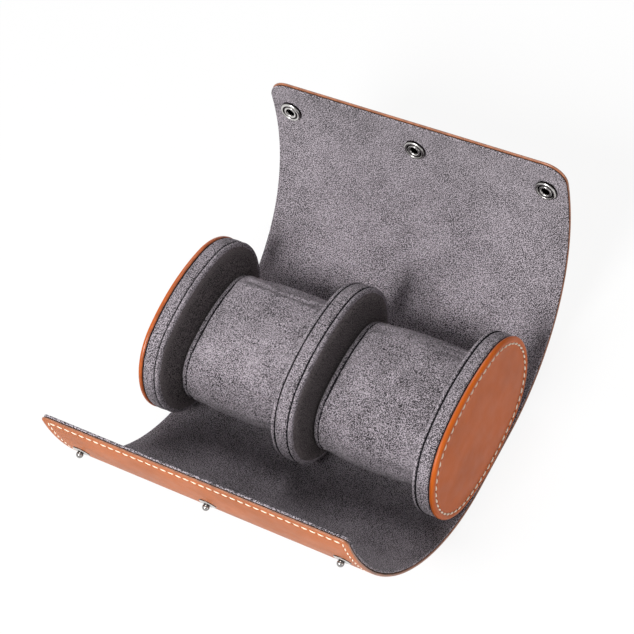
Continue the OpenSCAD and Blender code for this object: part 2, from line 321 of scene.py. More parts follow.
class Finish(Nodes):
    """A procedural material under construction, laid out by place or by an attribute."""

    def __init__(self, name, place="object"):
        self.material = bpy.data.materials.new(name)
        self.material.use_nodes = True
        super().__init__(self.material.node_tree)
        self.shader = self.tree.nodes["Principled BSDF"]
        if place == "object":
            self.place = self.node("ShaderNodeTexCoord", {}, {}, "Object")
        else:
            self.place = self.attribute(place, "Vector")

    def noise(self, scale, detail=2.0, roughness=0.5, stretch=(1, 1, 1)):
        """Noise from 0 to 1 whose features are 1/scale metres across."""
        place = self.place
        if stretch != (1, 1, 1):
            place = self.node("ShaderNodeMapping", {}, {"Vector": place, "Scale": stretch})
        return self.node("ShaderNodeTexNoise", {}, {
            "Vector": place, "Scale": scale, "Detail": detail, "Roughness": roughness}, "Fac")

    def cells(self, scale):
        """Distance to the nearest of scattered points, about 1/scale metres apart."""
        return self.node("ShaderNodeTexVoronoi", {}, {"Vector": self.place, "Scale": scale},
                         "Distance")

    def mix(self, low, high, share):
        """Colour between two colours."""
        return self.node("ShaderNodeMix", {"data_type": "RGBA"}, {
            0: share, 6: low if isinstance(low, Signal) else (*low, 1),
            7: high if isinstance(high, Signal) else (*high, 1)}, 2)

    def tinted(self, colour, low, high, share):
        """A colour made darker and lighter by factors low and high."""
        return self.mix([c * low for c in colour], [min(c * high, 1) for c in colour], share)

    def bump(self, height, distance, strength=1.0):
        """The normal of a surface that is raised by up to a distance in metres."""
        return self.node("ShaderNodeBump", {}, {
            "Height": height, "Distance": distance, "Strength": strength}, "Normal")

    def set(self, **values):
        """Sets or links the shader's own sockets, written with _ for a space."""
        for key, value in values.items():
            self.feed(self.shader.inputs[key.replace("_", " ")], value)
        return self.material


# ---- Finishes ----

# Painted shade: the wrap's board shows only in the groove between leather and lining, and is coloured dark
# so the groove reads dark.
BOARD_GROOVE_SHADE = (0.06, 0.035, 0.022)
CORE_TAN = (0.30, 0.25, 0.18)
FOAM_CREAM = (0.78, 0.74, 0.64)
# Nearly black, for tarnished grooves and for painted shade and dark reflection on the nickel.
TARNISH_AND_SHADE_BLACK = (0.02, 0.017, 0.017)

# The name of each part's material, filled in when the materials are made.
MATERIAL_NAMES = {}


def suede(name, colour, place="object", mottle=0.16, grain=1.3, rim=0.0):
    """Microsuede: brushed nap, fine grain and a soft sheen; rim paints it lighter near its outline, a
    painted highlight.
    """
    f = Finish(name, place)
    brushed = f.noise(26, 2, 0.5).ramp(0.3, 0.7)
    cloud = f.noise(80, 3, 0.55).ramp(0.3, 0.7)
    nap = f.noise(1900, 0).ramp(0.42, 0.58)
    fibre = f.noise(1500, 0, stretch=(1, 1.9, 1.4)).ramp(0.42, 0.58)
    speck = nap * 0.7 + fibre * 0.3
    share = ((brushed - 0.5) * mottle + (cloud - 0.5) * (0.7 * mottle) + (speck - 0.5) * grain
             + 0.5)
    # Painted highlight: lighter within a few millimetres of the outline, as lit as the rolled edge beside
    # it.
    if rim:
        share = share + (1 - f.attribute(INSET).ramp(3.5 * MM, 9.0 * MM)) * rim
    return f.set(
        Base_Color=f.tinted(colour, 0.12, 1.95, share.clamp()),
        Roughness=0.93, Sheen_Weight=0.12, Sheen_Roughness=0.45, Specular_IOR_Level=0.05,
        Normal=f.bump(speck * 0.9 + cloud * 0.1, 0.0003, 1.0))


def leather(name, colour, place="object"):
    """Smooth satin leather with fine pores and a faint unevenness."""
    f = Finish(name, place)
    cloud = f.noise(38, 3, 0.5).ramp(0.3, 0.7)
    pores = f.cells(1300)
    pebble = f.noise(700, 3, 0.6)
    height = pores * 0.35 + pebble * 0.65
    return f.set(
        Base_Color=f.tinted(colour, 0.86, 1.1, cloud * 0.75 + pebble * 0.25),
        Roughness=f.noise(120, 2).ramp(0.2, 0.8) * 0.1 + 0.40,
        Specular_IOR_Level=0.2, Normal=f.bump(height, 0.00012, 0.5))


def edge_paint(name, colour, place="object"):
    """Glossier paint on the leather's cut edges."""
    f = Finish(name, place)
    wear = f.noise(240, 3, 0.6)
    return f.set(
        Base_Color=f.tinted(colour, 0.72, 1.18, wear.ramp(0.3, 0.7)), Roughness=0.3,
        Specular_IOR_Level=0.5, Normal=f.bump(wear, 0.0002, 0.5))


def thread(name, colour):
    """Waxed thread."""
    f = Finish(name)
    strand = f.noise(2600, 2, 0.6)
    return f.set(Base_Color=f.tinted(colour, 0.78, 1.12, strand), Roughness=0.6,
                 Sheen_Weight=0.15, Normal=f.bump(strand, 0.0002, 0.6))


def seam(name, colour):
    """Dark sewing thread deep in a seam, nearly black so it also paints the groove's shade."""
    f = Finish(name)
    strand = f.noise(1500, 2, 0.7)
    return f.set(Base_Color=f.tinted(colour, 0.5, 2.0, strand), Roughness=0.9,
                 Specular_IOR_Level=0.05, Normal=f.bump(strand, 0.0003, 0.8))


def nickel(name, colour):
    """Bright nickel plate with fine handling marks, darkened where its profile says: tarnished in its
    grooves, with painted shade and painted dark reflection on walls, flange edges and the studs' balls.
    """
    f = Finish(name)
    marks = f.noise(500, 3, 0.7)
    bright = f.tinted(colour, 0.85, 1.1, marks)
    return f.set(
        Base_Color=f.mix(bright, TARNISH_AND_SHADE_BLACK, f.attribute(TARNISH_AND_SHADE).clamp()), Metallic=1.0,
        Roughness=marks.ramp(0.3, 0.8) * 0.14 + 0.16, Normal=f.bump(marks, 0.00003, 0.4))


def board(name, colour):
    """Fibrous board."""
    f = Finish(name)
    pulp = f.noise(420, 4, 0.7)
    fleck = f.noise(1600, 2, 0.6).ramp(0.6, 0.75)
    return f.set(Base_Color=f.mix(f.tinted(colour, 0.7, 1.3, pulp),
                                  [c * 0.4 for c in colour], fleck * 0.5),
                 Roughness=0.9, Specular_IOR_Level=0.1, Normal=f.bump(pulp, 0.0003, 0.5))


def foam(name, colour):
    """Foam with open pores."""
    f = Finish(name)
    pore = f.cells(900)
    return f.set(Base_Color=f.tinted(colour, 0.6, 1.1, pore.ramp(0.05, 0.5)),
                 Roughness=0.95, Normal=f.bump(pore, 0.0006, 0.8))


def make_finishes():
    """Every material of the case, by the part that wears it."""
    scene = bpy.context.scene
    wrap = scene.case_wrap
    grey = Vector(scene.case_cushion.suede_colour)
    hide = Vector(wrap.leather_colour)
    return {
        "wrap leather": leather("wrap_leather", hide, FLAT),
        "wrap edge": edge_paint("wrap_edge", wrap.edge_colour, FLAT),
        "wrap suede": suede("wrap_suede", grey * 1.1, FLAT, mottle=0.22),
        "wrap board painted shade": board("wrap_board", BOARD_GROOVE_SHADE),
        "plate leather": leather("plate_leather", hide * Vector((1.2, 0.86, 0.2))),
        "plate edge": edge_paint("plate_edge", hide * Vector((1.1, 0.9, 0.8))),
        # Painted shade: the dark beads at the stitch holes.
        "stitch hole painted shade": edge_paint("stitch_hole", hide * 0.25),
        "band suede": suede("band_suede", grey * 1.08),
        # Painted shade and light: the divider faces are the suede painted much darker, with a lighter
        # painted rim, and the rolled edges are the suede painted a little lighter.
        "face suede painted dark": suede("face_suede", grey * Vector((0.46, 0.44, 0.41)), mottle=0.1, rim=0.4),
        "roll suede painted light": suede("roll_suede", grey * 1.2, grain=1.0),
        "cushion suede": suede("cushion_suede", grey * 1.14, mottle=0.26, grain=1.1),
        "end suede": suede("end_suede", grey * 0.9),
        "thread": thread("cream_thread", wrap.thread_colour),
        "seam": seam("dark_seam", scene.case_divider.seam_and_gap_shade_colour),
        "nickel": nickel("nickel", scene.case_fastener.nickel_colour),
        "core board": board("core_board", CORE_TAN),
        "foam": foam("cushion_foam", FOAM_CREAM),
    }


def finish(part):
    """The material that a part wears."""
    return bpy.data.materials[MATERIAL_NAMES[part]]


# ---- Making pieces ----

# An edge that turns by more than this stays crisp.
CRISP = math.radians(50)
CRISP_METAL = math.radians(42)
NEVER_CRISP = math.pi


def add_object(bm, name, materials):
    """Turns a finished bmesh into an object at the origin."""
    mesh = bpy.data.meshes.new(name)
    bm.to_mesh(mesh)
    bm.free()
    for material in materials:
        mesh.materials.append(material)
    made = bpy.data.objects.new(name, mesh)
    bpy.context.scene.collection.objects.link(made)
    return made


def new_piece(bm, name, parts, crisp=CRISP):
    """Turns a finished bmesh into a piece, smooth but for its crisp edges."""
    bmesh.ops.recalc_face_normals(bm, faces=bm.faces[:])
    bm.normal_update()
    for face in bm.faces:
        face.smooth = True
    for edge in bm.edges:
        if len(edge.link_faces) == 2 and edge.calc_face_angle(0) > crisp:
            edge.smooth = False
    return add_object(bm, name, [finish(part) for part in parts])


def wobble(place, size, amount, seed=0.0):
    """A small smooth offset that makes cut and rolled suede a little uneven."""
    return amount * noise.noise(Vector(place) / size + Vector((seed, 1.7 * seed, -seed)))


# ---- The wrap ----


class Flap:
    """One half of the wrap, from the middle of the spine to a free edge, as a flat sheet.

    A place on it is x along the case, s along the sheet from the middle of the spine, and h
    from the sheet's middle towards the lining. From each hinge the sheet follows an arc, given
    by its length along the middle and its radius on the lining's side, in millimetres.
    """

    def __init__(self, name, side, bodies, hinges, lengths, radii, corner):
        self.name = name
        self.side = side
        self.bodies = bodies
        self.corner = corner
        half = bpy.context.scene.case_wrap.thickness / 2
        self.hinges = [joint_place(h) for h in hinges]
        self.starts = [abs(self.hinges[0].y)]
        self.headings = [0.0]
        self.mids = [r * MM + half for r in radii]
        for length, mid in zip(lengths, self.mids):
            self.starts.append(self.starts[-1] + length * MM)
            self.headings.append(self.headings[-1] + length * MM / mid)
        self.length = self.starts[-1]

    def at(self, x, s, h=0.0):
        """The place in the case's frame, at rest."""
        if s <= self.starts[0]:
            y, z, heading = s, self.hinges[0].z, 0.0
        else:
            last = len(self.mids) - 1
            i = min(last, max(k for k in range(last + 1) if s >= self.starts[k]))
            heading = (s - self.starts[i]) / self.mids[i]
            forward = self.mids[i] * math.sin(heading)
            rise = self.mids[i] * (1 - math.cos(heading))
            turn = self.headings[i]
            y = abs(self.hinges[i].y) + forward * math.cos(turn) - rise * math.sin(turn)
            z = self.hinges[i].z + forward * math.sin(turn) + rise * math.cos(turn)
            heading += turn
        return Vector((x, self.side * (y - h * math.sin(heading)), z + h * math.cos(heading)))

    def frame_at(self, x, s, h=0.0):
        """A matrix that sets a part on the sheet: its Z points to the lining side."""
        place = self.at(x, s, h)
        up = (self.at(x, s, h + MM) - place).normalized()
        along = (self.at(x, s + 0.1 * MM, h) - place).normalized()
        across = along.cross(up)
        return Matrix((
            (across.x, along.x, up.x, place.x), (across.y, along.y, up.y, place.y),
            (across.z, along.z, up.z, place.z), (0, 0, 0, 1)))

    def edge_distance(self, x, s, inset=0.0):
        """How far a place lies inside the outline, which may be inset."""
        r = max(self.corner - inset, 0.2 * MM)
        across = abs(x) - (bpy.context.scene.case_wrap.half_length - inset - r)
        along = s - (self.length - inset - r)
        outside = math.hypot(max(across, 0), max(along, 0))
        return r - outside - min(max(across, along), 0)

    def cuts(self):
        """Where the sheet is cut into pieces: one across each hinge."""
        middles = [(a + b) / 2 for a, b in zip(self.starts, self.starts[1:])]
        return [0.0] + middles[:-1] + [self.length]

    def is_last(self, index):
        """Whether a piece is the one with the free edge."""
        return index == len(self.mids) - 1


def front_flap():
    """The flap that carries the studs."""
    return Flap("front", -1, ["base"] + [f"front_{i}" for i in (1, 2, 3, 4, 5)],
                ["front_flap_roll"] + [f"front_curl_{i}" for i in (2, 3, 4, 5)],
                (31, 31, 31, 31, 39), (80, 90, 97, 110, 125),
                bpy.context.scene.case_wrap.front_corner)


def back_flap():
    """The lid, whose lip carries the sockets."""
    return Flap("back", 1, ["base"] + [f"back_{i}" for i in (1, 2, 3, 4)] + ["lip"],
                ["back_flap_roll"] + [f"back_curl_{i}" for i in (2, 3, 4)] + ["lip_peel"],
                (32.6,) * 5, (100, 97, 92, 105, 118),
                bpy.context.scene.case_wrap.lid_corner)


class Layer:
    """One layer of the wrap.

    low and high are its two heights, inset is how far it stays behind the outline, rounding is
    the radius of its edges, columns are the distances from the edge, in millimetres, at which
    its mesh has points, and relief gives how much further in its outside lies by that distance.
    """

    def __init__(self, name, low, high, inset, rounding, columns, relief=lambda distance: 0.0):
        self.name = name
        self.low = low
        self.high = high
        self.middle = (low + high) / 2
        self.inset = inset
        self.rounding = rounding
        self.columns = [k * MM for k in columns]
        self.relief = relief

    def drop(self, d):
        """How far the edge's rounding takes the surface down, d inside the outline."""
        if d >= self.rounding:
            return 0.0
        return self.rounding - math.sqrt(max(self.rounding ** 2 - (self.rounding - d) ** 2, 0))


def stations(near, end, step):
    """Distances from an edge: close together where the edge is shaped, then evenly spaced."""
    rest = max(1, round((end - near[-1]) / step))
    return near + [near[-1] + (end - near[-1]) * (k + 1) / rest for k in range(rest)]


def round_corner(dx, ds, r):
    """Moves a place in a corner's square onto rings that follow its round outline."""
    if dx >= r or ds >= r:
        return dx, ds
    u, v = (r - dx) / r, (r - ds) / r
    ring = max(u, v)
    turn = math.pi / 4 * (v / u if u >= v else 2 - u / v)
    return r * (1 - ring * math.cos(turn)), r * (1 - ring * math.sin(turn))


def punch(bm, x, s, radius, sides=16):
    """Cuts a round hole in a flat sheet, one straight cut after another."""
    centre = Vector((x, s, 0))
    core = [f for f in bm.faces if any((v.co - centre).length < 3 * radius for v in f.verts)]
    for k in range(sides):
        out = Vector((math.cos(TAU * k / sides), math.sin(TAU * k / sides), 0))
        edges = {e for f in core for e in f.edges}
        verts = {v for f in core for v in f.verts}
        cut = bmesh.ops.bisect_plane(bm, geom=core + list(edges) + list(verts), dist=1e-7,
                                     plane_co=centre + out * radius, plane_no=out)["geom"]
        core = [g for g in cut if isinstance(g, bmesh.types.BMFace)
                and (g.calc_center_median() - centre).dot(out) < radius]
    bmesh.ops.delete(bm, geom=core, context="FACES")


def sheet_grid(flap, layer, index):
    """A flat grid for one piece of a layer, its points close together where it is shaped."""
    half = bpy.context.scene.case_wrap.half_length - layer.inset
    start, end = flap.cuts()[index], flap.cuts()[index + 1]
    across = stations(layer.columns, half, 6 * MM)
    columns = [-half + d for d in across] + [half - d for d in across[-2::-1]]
    step = 3.2 * MM
    # A hair's row beside each cut keeps the shading even up to the next piece.
    hair = 0.05 * MM
    is_last = flap.is_last(index)
    if is_last:
        end -= layer.inset
        along = stations(layer.columns, end - start - hair, step)
        rows = [start] + [end - d for d in along[::-1]]
    else:
        count = round((end - start) / step)
        inner = [start + hair + (end - start - 2 * hair) * k / count for k in range(count + 1)]
        rows = [start] + inner + [end]

    bm = bmesh.new()
    bmesh.ops.create_grid(bm, x_segments=len(columns) - 1, y_segments=len(rows) - 1, size=1)
    if len(bm.verts) != len(columns) * len(rows):
        raise RuntimeError("the wrap's grid has the wrong number of points")
    for v in bm.verts:
        x = columns[round((v.co.x + 1) / 2 * (len(columns) - 1))]
        s = rows[round((v.co.y + 1) / 2 * (len(rows) - 1))]
        if is_last:
            dx, ds = round_corner(half - abs(x), end - s, max(flap.corner - layer.inset, 0))
            x, s = math.copysign(half - dx, x), end - ds
        v.co = Vector((x, s, 0))
    return bm


def paint_edges(bm, flap, layer, flat_key):
    """Paints the faces along the outline.

    On the lining's side that is the whole rounding of the edge, and on the outside its rim.
    """
    for face in bm.faces:
        flat = [v[flat_key] for v in face.verts]
        distance = sum(flap.edge_distance(p.x, abs(p.y), layer.inset) for p in flat) / len(flat)
        is_inner = sum(p.z for p in flat) / len(flat) > layer.middle
        reach = 1.02 if is_inner else 0.3
        face.material_index = 1 if distance < layer.rounding * reach else 0


def wrap_piece(flap, layer, index, name, parts, holes=()):
    """One piece of a layer: a grid laid out flat, thickened, and bent to the sheet's curve."""
    bm = sheet_grid(flap, layer, index)
    flat_key = bm.verts.layers.float_vector.new(FLAT)
    for hole in holes:
        punch(bm, *hole)
    upper = list(bm.verts)
    made = bmesh.ops.extrude_face_region(bm, geom=bm.faces[:])
    lower = [g for g in made["geom"] if isinstance(g, bmesh.types.BMVert)]
    for verts, is_upper in ((upper, True), (lower, False)):
        for v in verts:
            x, s = v.co.x, v.co.y
            d = max(flap.edge_distance(x, s, layer.inset), 0.0)
            if is_upper:
                h = layer.high - layer.drop(d)
            else:
                h = layer.low + layer.drop(d) + layer.relief(d)
            v[flat_key] = Vector((x, flap.side * s, h))
            v.co = flap.at(x, s, h)
    if len(parts) > 1:
        paint_edges(bm, flap, layer, flat_key)
    return new_piece(bm, name, parts)


def bend_piece(piece, flap, index):
    """Lets a piece of the wrap bend across its hinge, half as far beside the snaps."""
    reach = bpy.context.scene.case_wrap.bend_reach * (0.5 if flap.is_last(index) else 1)
    hinge = flap.starts[index]
    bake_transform(piece, flap.bodies[index], flap.bodies[index + 1],
             start=flap.at(0, hinge - reach), end=flap.at(0, hinge + reach))


def wrap_nodes(flap, index, layer_name):
    """The solids that one piece of a layer stands for; the first covers half of the spine too."""
    is_lip = flap.bodies[index + 1] == "lip"
    node = f"lip_{layer_name}" if is_lip else f"{flap.name}_{layer_name}_{index + 1}"
    return [node, f"spine_{layer_name}"] if index == 0 else [node]


def fastener_columns():
    """Where the three fasteners of a row stand along the case."""
    pitch = bpy.context.scene.case_fastener.pitch
    return -pitch, 0.0, pitch


def socket_holes(flap):
    """Where the sockets go through the lid's lining: x, s and radius."""
    f = bpy.context.scene.case_fastener
    radius = 0.4 * f.socket_diameter
    return [(x, flap.length - f.socket_edge, radius) for x in fastener_columns()]


def dress_wrap(layer, parts):
    """Makes every piece of one layer, on both flaps."""
    for flap in (front_flap(), back_flap()):
        for index in range(len(flap.mids)):
            nodes = wrap_nodes(flap, index, layer.name)
            holes = socket_holes(flap) if "lip_lining" in nodes else ()
            name = f"{flap.name}_{layer.name}_sheet_{index + 1}"
            piece = wrap_piece(flap, layer, index, name, parts, holes)
            bend_piece(piece, flap, index)
            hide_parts(*nodes)


def leather_valley(d):
    """The outside of the leather: a puffed border, a valley at the stitches, then flat."""
    depth, width = 0.28 * MM, 0.75 * MM
    return depth * math.exp(-((d - bpy.context.scene.case_wrap.stitch_inset) / width) ** 2)


def leather_layer():
    """The leather, its border puffed between the edge and the stitches."""
    wrap = bpy.context.scene.case_wrap
    low = -wrap.thickness / 2
    columns = (0, .08, .22, .42, .65, 1.2, 1.9, 2.5, 3, 3.5, 4, 4.5, 5.2, 6.5, 9, 12)
    return Layer("leather", low, low + wrap.leather, 0.0, 0.58 * MM, columns, leather_valley)


def board_layer():
    """The board, a little smaller than the leather."""
    wrap = bpy.context.scene.case_wrap
    low = -wrap.thickness / 2 + wrap.leather
    return Layer("board", low, wrap.thickness / 2 - wrap.lining, 0.8 * MM, 0.0, (0, 3, 7, 12))


def lining_layer():
    """The suede lining, cut just inside the leather's edge."""
    wrap = bpy.context.scene.case_wrap
    high = wrap.thickness / 2
    columns = (0, .08, .2, .38, .6, 1.4, 3, 6, 9, 12)
    return Layer("lining", high - wrap.lining, high, 0.25 * MM, 0.5 * MM, columns)


# ---- Stitches ----

STITCH_SLANT = math.radians(10)


def add_bead(bm, place, size, material_index=0):
    """A small rounded bead in a few dozen faces, with its half sizes along the place's axes."""
    made = bmesh.ops.create_uvsphere(bm, u_segments=8, v_segments=5, radius=1)["verts"]
    bmesh.ops.transform(bm, matrix=place @ Matrix.Diagonal((*size, 1)), verts=made)
    for face in {f for v in made for f in v.link_faces}:
        face.material_index = material_index
    return made


def add_stitch(bm, place, inward, fullness=1.0):
    """One slanted stitch and a small dark bead at its end, painted shade of the stitch hole; inward is the
    sign of the place's Z there.
    """
    wrap = bpy.context.scene.case_wrap
    slant = Matrix.Rotation(-inward * STITCH_SLANT, 4, "Z")
    # The dark bead between two stitches is painted shade: it stands for the hole's shadow.
    hole = Matrix.Translation((wrap.stitch_pitch / 2, 0, 0.14 * MM * inward))
    width = wrap.stitch_width * fullness
    made = add_bead(bm, place @ slant, (wrap.stitch_length / 2, width / 2, width * 0.42))
    return made + add_bead(bm, place @ hole, (0.45 * MM, 0.38 * MM, 0.12 * MM), 1)


def border_path(half, length, inset, corner, step=0.2 * MM):
    """Places along the stitching: up one side, round the free edge, and down the other."""
    r = max(corner - inset, 0.0)
    side, top = half - inset, length - inset
    path = [(-side, s) for s in steps_to(0, top - r, step)]
    path += [(-side + r - r * math.cos(t), top - r + r * math.sin(t))
             for t in steps_to(0, math.pi / 2, step / max(r, step))]
    path += [(x, top) for x in steps_to(-side + r, side - r, step)]
    path += [(side - r + r * math.sin(t), top - r + r * math.cos(t))
             for t in steps_to(0, math.pi / 2, step / max(r, step))]
    return path + [(side, s) for s in steps_to(top - r, 0, step)]


def steps_to(start, end, step):
    """Even steps from start up to, and without, end."""
    count = max(1, math.ceil(abs(end - start) / step))
    return [start + (end - start) * k / count for k in range(count)]


def spaced(path, pitch, closed=False):
    """(place, direction) at even spacing along a path of close points."""
    pairs = list(zip(path, path[1:] + (path[:1] if closed else [])))
    lengths = [math.dist(a, b) for a, b in pairs if a is not b]
    total = sum(lengths)
    count = round(total / pitch)
    found, walked, k = [], 0.0, 0
    for (a, b), length in zip(pairs, lengths):
        while k < count and walked + length >= (k + 0.5) * total / count:
            share = ((k + 0.5) * total / count - walked) / max(length, 1e-9)
            place = [p + (q - p) * share for p, q in zip(a, b)]
            found.append((place, math.atan2(b[1] - a[1], b[0] - a[0])))
            k += 1
        walked += length
    return found


def stitch_wrap():
    """Sews the border of both flaps, in pieces that bend with the leather."""
    wrap = bpy.context.scene.case_wrap
    height = -wrap.thickness / 2 + leather_valley(wrap.stitch_inset) - 0.06 * MM
    for flap in (front_flap(), back_flap()):
        cuts = flap.cuts()
        path = border_path(wrap.half_length, flap.length, wrap.stitch_inset, flap.corner)
        row = spaced(path, wrap.stitch_pitch)
        for index in range(len(flap.mids)):
            bm = bmesh.new()
            for (x, s), turn in row:
                if cuts[index] <= s < cuts[index + 1]:
                    flat = Matrix.Translation((x, s, height)) @ Matrix.Rotation(turn, 4, "Z")
                    for v in add_stitch(bm, flat, 1):
                        v.co = flap.at(v.co.x, v.co.y, v.co.z)
            piece = new_piece(bm, f"{flap.name}_stitches_{index + 1}",
                              ["thread", "stitch hole painted shade"], NEVER_CRISP)
            bend_piece(piece, flap, index)


# ---- Dividers ----

# How much deeper a rolled edge is on the side of the divider's face.
ROLL_STRETCH = 1.7


class Oval:
    """A four-arc oval across the case, cut flat by the floor that it stands on."""

    def __init__(self, half_width, half_height, end_radius, y, z, floor=-1.0):
        self.sizes = (half_width, half_height, end_radius)
        self.y = y
        self.z = z
        self.floor = floor

    def at(self, x, inset, turn):
        """The place whose outward normal is turned from straight up."""
        a, b, r = (size - inset for size in self.sizes)
        drop = ((a - r) ** 2 - (b - r) ** 2) / (2 * (b - r))
        reach = math.atan2(a - r, drop)
        side = -1 if turn > math.pi else 1
        t = min(turn, TAU - turn)
        if t < reach:
            y, z = (b + drop) * math.sin(t), (b + drop) * math.cos(t) - drop
        elif t > math.pi - reach:
            y, z = (b + drop) * math.sin(t), (b + drop) * math.cos(t) + drop
        else:
            y, z = a - r + r * math.sin(t), r * math.cos(t)
        return Vector((x, self.y + side * y, max(self.z + z, self.floor)))


def loft(bm, oval, rings, sides, is_ring=False, uneven=0.0, seed=0.0):
    """Draws a ring out through a row of (x, inset) places round an oval.

    An uneven one wanders by that much along the case and outwards, but not on the floor.
    """
    turn_key = bm.verts.layers.float.get("turn") or bm.verts.layers.float.new("turn")
    inset_key = bm.verts.layers.float.get(INSET) or bm.verts.layers.float.new(INSET)

    def put(verts, x, inset):
        """Sets a ring's points in place."""
        for v in verts:
            v[inset_key] = inset
            v.co = oval.at(x, inset, v[turn_key])
            if uneven:
                v.co.x += wobble(v.co, 7 * MM, uneven, seed)
                outward = Vector((0, v.co.y - oval.y, v.co.z - oval.z)).normalized()
                if v.co.z > oval.floor + 0.5 * MM:
                    v.co += outward * wobble(v.co, 5 * MM, uneven, seed + 9)

    verts = bmesh.ops.create_circle(bm, segments=sides, radius=1)["verts"]
    for v in verts:
        v[turn_key] = math.atan2(v.co.y, v.co.x) % TAU
    start = set(verts)
    first = [e for e in bm.edges if e.verts[0] in start and e.verts[1] in start]
    put(verts, *rings[0])
    edges = first
    for x, inset in rings[1:]:
        made = bmesh.ops.extrude_edge_only(bm, edges=edges)["geom"]
        verts = {g for g in made if isinstance(g, bmesh.types.BMVert)}
        edges = [e for e in {e for v in verts for e in v.link_edges}
                 if e.verts[0] in verts and e.verts[1] in verts]
        put(verts, x, inset)
    if is_ring:
        bmesh.ops.bridge_loops(bm, edges=first + edges)
    else:
        bmesh.ops.edgeloop_fill(bm, edges=first)
        bmesh.ops.edgeloop_fill(bm, edges=edges)


def divider_oval():
    """The outline of the dividers, which stand on the lining."""
    d = bpy.context.scene.case_divider
    return Oval(d.half_width, d.half_height, d.end_radius, 0.0, d.centre_height,
                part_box("spine_lining")[1].z)


def oval_piece(name, rings, parts, oval=None, is_ring=False, uneven=0.0, seed=0.0, crisp=CRISP):
    """A piece lofted round an oval, which is the dividers' unless another is given."""
    bm = bmesh.new()
    loft(bm, oval or divider_oval(), rings, bpy.context.scene.case_divider.sides, is_ring,
         uneven, seed)
    return new_piece(bm, name, parts, crisp)


def plate_depth(inset):
    """How far the end plate's face lies behind its highest part, by distance from the rim."""
    stitches = bpy.context.scene.case_wrap.stitch_inset
    rim, valley_depth, valley_width = 1.6 * MM, 0.6 * MM, 0.9 * MM
    edge = rim - math.sqrt(max(rim ** 2 - (rim - min(inset, rim)) ** 2, 0))
    valley = valley_depth * math.exp(-((inset - stitches - 0.15 * MM) / valley_width) ** 2)
    sunk = 0.5 * MM * min(max((inset - 3.5 * MM) / (2.5 * MM), 0), 1)
    padded = 0.5 * MM * min(max((inset - 6 * MM) / (16 * MM), 0), 1)
    return edge + valley + sunk - padded


def make_end_plate(side, face, back):
    """Leather end plate: rounded rim, stitched valley and a slightly domed face."""
    insets = [k * MM for k in (0, .05, .18, .4, .75, 1.1, 1.5, 2, 2.5, 2.9, 3.2, 3.5, 3.8, 4.1,
                               4.5, 5, 5.6, 6.5, 8, 11, 15, 20, 26, 31)]
    out = math.copysign(1, face)
    rings = [(back, 14 * MM), (back, 1.5 * MM), (back + out * 0.08 * MM, 0.9 * MM),
             (back + out * 0.3 * MM, 0.4 * MM), (back + out * 0.65 * MM, 0.1 * MM),
             (back + out * 1.05 * MM, 0.0)]
    rings += [(face - out * plate_depth(i), i) for i in insets]
    piece = oval_piece(f"{side}_end_plate_leather", rings, ["plate leather", "plate edge"])
    painted_from = 1.5 * MM
    for polygon in piece.data.polygons:
        if abs(face - polygon.center.x) > painted_from:
            polygon.material_index = 1
    return piece


def oval_places(oval, x, inset, pitch):
    """Matrices at even spacing round an oval: X runs along it and Z points outwards."""
    points = 2000
    path = [tuple(oval.at(0, inset, TAU * k / points)[1:3]) for k in range(points)]
    for (y, z), turn in spaced(path, pitch, closed=True):
        c, s = math.cos(turn), math.sin(turn)
        yield Matrix(((0, -1, 0, x), (c, 0, -s, y), (s, 0, c, z), (0, 0, 0, 1)))


def stitch_plate(side, face):
    """The row of stitches in an end plate's valley."""
    wrap = bpy.context.scene.case_wrap
    out = math.copysign(1, face)
    x = face - out * (plate_depth(wrap.stitch_inset) - 0.2 * MM)
    upright = Matrix.Rotation(out * math.pi / 2, 4, "X")
    bm = bmesh.new()
    for place in oval_places(divider_oval(), x, wrap.stitch_inset, wrap.stitch_pitch):
        add_stitch(bm, place @ upright, -1, fullness=1.3)
    return new_piece(bm, f"{side}_plate_stitches", ["thread", "stitch hole painted shade"], NEVER_CRISP)


def make_band(name, x0, x1, seed):
    """Suede band round a divider: softly domed, its edges tucked into the seams."""
    inset = bpy.context.scene.case_divider.band_inset
    width = x1 - x0
    profile = [(0, 1.5), (0.02, 0.75), (0.06, 0.3), (0.14, 0.08), (0.3, 0.0), (0.5, -0.06),
               (0.7, 0.0), (0.86, 0.08), (0.94, 0.3), (0.98, 0.75), (1, 1.5)]
    rings = [(x0 + width * share, inset + down * MM) for share, down in profile]
    return oval_piece(name, rings, ["band suede"], uneven=0.09 * MM, seed=seed)


def make_roll(name, x, away, radius, seed, sides=16):
    """Rolled edge: padded suede round the oval, deeper on the side away from the band."""
    inset = bpy.context.scene.case_divider.band_inset
    rings = []
    for k in range(sides):
        across, out = math.cos(TAU * k / sides), math.sin(TAU * k / sides)
        depth = radius * (ROLL_STRETCH if away * across > 0 else 1)
        rings.append((x + radius * across, inset + depth * (1 - out)))
    return oval_piece(name, rings, ["roll suede painted light"], is_ring=True, uneven=0.12 * MM, seed=seed,
                      crisp=NEVER_CRISP)


def make_face(name, back, front, seed):
    """Suede face inside the rolled edge, softly padded."""
    depth = front - back
    start = (bpy.context.scene.case_divider.band_inset + ROLL_STRETCH * abs(depth) / 2) / MM - 0.3
    profile = [(0, 0), (0.5, 0), (0.8, 0.1), (0.88, 0.45), (0.92, 1.2), (0.95, 2.6), (0.98, 5),
               (1, 10), (1, 17), (1, 24)]
    rings = [(back + depth * share, (start + further) * MM) for share, further in profile]
    return oval_piece(name, rings, ["face suede painted dark"], uneven=0.1 * MM, seed=seed)


